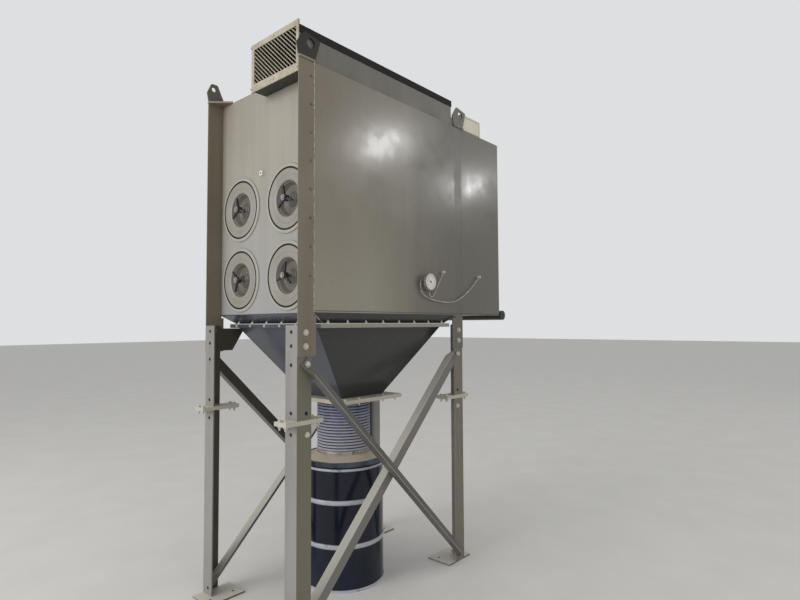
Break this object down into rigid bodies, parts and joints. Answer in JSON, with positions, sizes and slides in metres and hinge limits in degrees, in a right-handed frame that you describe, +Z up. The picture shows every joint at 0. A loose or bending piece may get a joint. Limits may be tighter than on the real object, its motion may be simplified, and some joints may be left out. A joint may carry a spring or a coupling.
{
  "type": "cartridge dust collector",
  "caption": "Cartridge dust collector on a braced leg frame: round filter covers on the front, inlet box on the roof, hopper with a hose to a lidded drum.",
  "frame": {"origin": "on the floor, in the middle of the four feet", "axes": "+X to the right along the front, +Y from the front to the rear, +Z up"},
  "size_m": [1.132, 2.319, 3.646],
  "materials": {
    "housing_paint": "semi-gloss warm grey paint, dusty and streaked",
    "leg_paint": "satin grey paint, worn, with rust at edges",
    "cover_paint": "semi-gloss warm grey paint",
    "hopper_paint": "semi-gloss slate blue-grey paint",
    "tan_paint": "matt tan paint, dusty",
    "drum_paint": "semi-gloss black paint",
    "lid_paint": "satin dark grey paint, dusty on top",
    "galvanised_steel": "dull galvanised, warm with dust",
    "hose_rubber": "matt ribbed hose",
    "knob_plastic": "matt black",
    "gauge_metal": "grey die-cast body with a pale bezel",
    "tube_plastic": "clear-to-cloudy soft tube"
  },
  "bodies": {
    "root": {"air_header": "drum_paint", "chamber_tube": "tube_plastic", "clean_air_plenum": "housing_paint", "control_box": "galvanised_steel", "corner_post_front_left": "housing_paint", "corner_post_front_right": "housing_paint", "corner_post_rear_left": "housing_paint", "corner_post_rear_right": "housing_paint", "cover_knob_lower_left": "knob_plastic", "cover_knob_lower_right": "knob_plastic", "cover_knob_upper_left": "knob_plastic", "cover_knob_upper_right": "knob_plastic", "drum": "drum_paint", "drum_lid": "tan_paint", "falling_brace_left": "leg_paint", "falling_brace_right": "leg_paint", "filter_cover_lower_left": "cover_paint", "filter_cover_lower_right": "cover_paint", "filter_cover_upper_left": "cover_paint", "filter_cover_upper_right": "cover_paint", "flexible_hose": "hose_rubber", "front_panel": "housing_paint", "hopper": "hopper_paint", "hopper_throat": "hopper_paint", "hose_clamps": "galvanised_steel", "inlet_box": "housing_paint", "inlet_collar": "galvanised_steel", "inlet_guard": "galvanised_steel", "inlet_lid": "lid_paint", "lid_ring": "drum_paint", "lower_leg_front_left": "leg_paint", "lower_leg_front_right": "leg_paint", "lower_leg_rear_left": "leg_paint", "lower_leg_rear_right": "leg_paint", "outlet_plate": "tan_paint", "plenum_rear_panel": "housing_paint", "plenum_tube": "tube_plastic", "pressure_gauge": "gauge_metal", "rising_brace_left": "leg_paint", "rising_brace_right": "leg_paint", "roof_panel": "housing_paint", "side_wall_left": "housing_paint", "side_wall_right": "housing_paint", "upper_leg_front_left": "leg_paint", "upper_leg_front_right": "leg_paint", "upper_leg_rear_left": "leg_paint", "upper_leg_rear_right": "leg_paint"}
  },
  "joints": []
}
